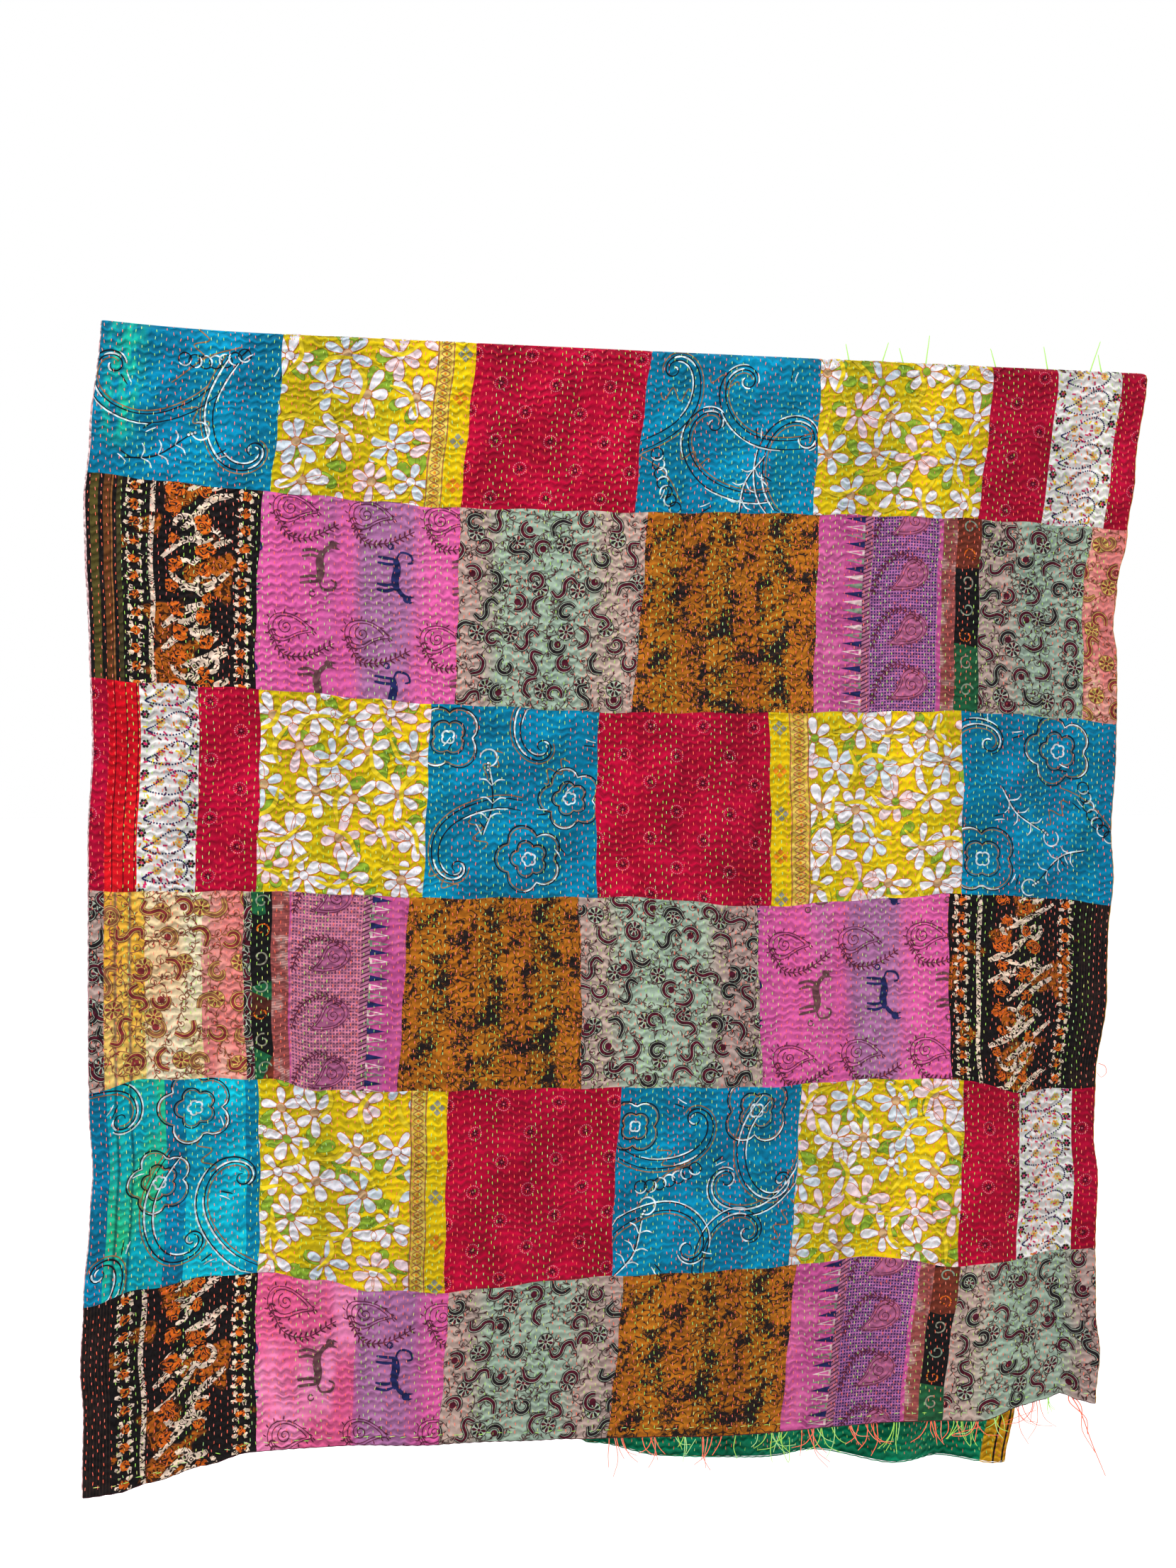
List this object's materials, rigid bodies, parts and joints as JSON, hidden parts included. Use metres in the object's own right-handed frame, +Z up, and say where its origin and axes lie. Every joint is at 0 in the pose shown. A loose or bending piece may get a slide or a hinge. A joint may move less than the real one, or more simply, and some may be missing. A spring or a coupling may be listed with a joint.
{
  "type": "patchwork kantha quilt, folded over and hanging",
  "caption": "A thin hand-quilted patchwork blanket folded over at its top edge, hanging in a front and a back leaf, with a green backing and loose thread ends at the hem.",
  "frame": {"origin": "the inner crown of the fold at the quilt's middle, where the line that it hangs over touches the cloth", "axes": "+X across the quilt to the viewer's right, +Y away from the front leaf's patchwork side, +Z up"},
  "size_m": [1.5426, 0.1087, 1.6491],
  "materials": {
    "patchwork_cotton": "washed printed cotton, matt",
    "backing_cotton": "washed plain green cotton, matt",
    "quilting_thread": "stranded cotton thread, soft sheen"
  },
  "bodies": {
    "root": {"patchwork_top": "patchwork_cotton", "backing": "backing_cotton", "thread_ends": "quilting_thread"}
  },
  "joints": []
}
